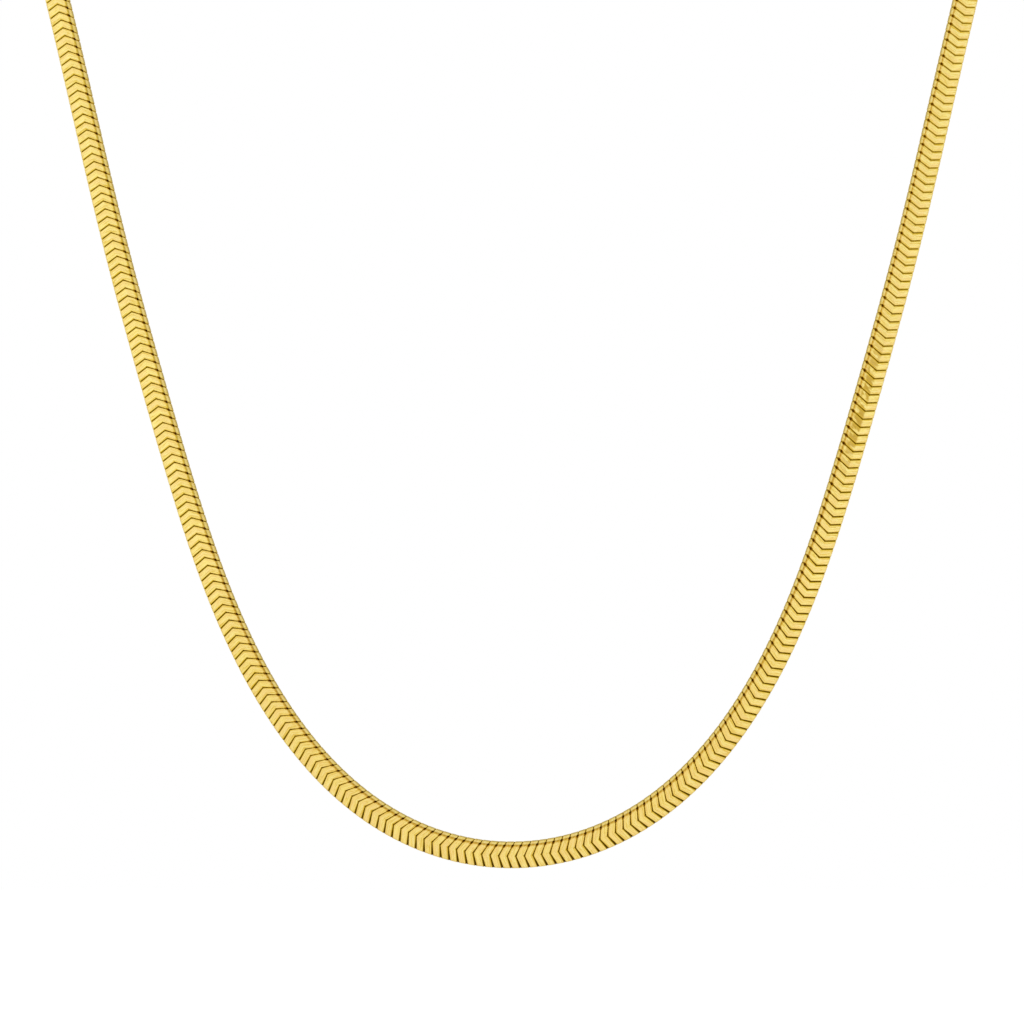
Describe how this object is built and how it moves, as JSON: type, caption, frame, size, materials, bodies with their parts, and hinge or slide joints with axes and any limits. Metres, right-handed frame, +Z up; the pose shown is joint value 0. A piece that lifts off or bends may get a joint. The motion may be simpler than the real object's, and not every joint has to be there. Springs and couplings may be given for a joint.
{
  "type": "flat snake chain necklace",
  "caption": "Flat gold snake chain necklace: a flexible band of close chevron plates in one hanging loop, with end caps and a ring clasp at the nape.",
  "frame": {"origin": "underside of the clasp ring, the point of the loop that rests on the nape of the neck", "axes": "+Z up along the height of the hanging loop, -Y out of its front face, +X to the right as seen from the front"},
  "size_m": [0.1104, 0.003, 0.1703],
  "materials": {
    "gold_plates": "satin yellow gold plate with a fine brushed grain along each chevron leg and dark joints",
    "gold_cap": "polished yellow gold plate",
    "gold_wire": "polished yellow gold plate"
  },
  "bodies": {
    "root": {"chain": "gold_plates", "end_cap_left": "gold_cap", "end_cap_right": "gold_cap", "clasp": "gold_wire"}
  },
  "joints": []
}
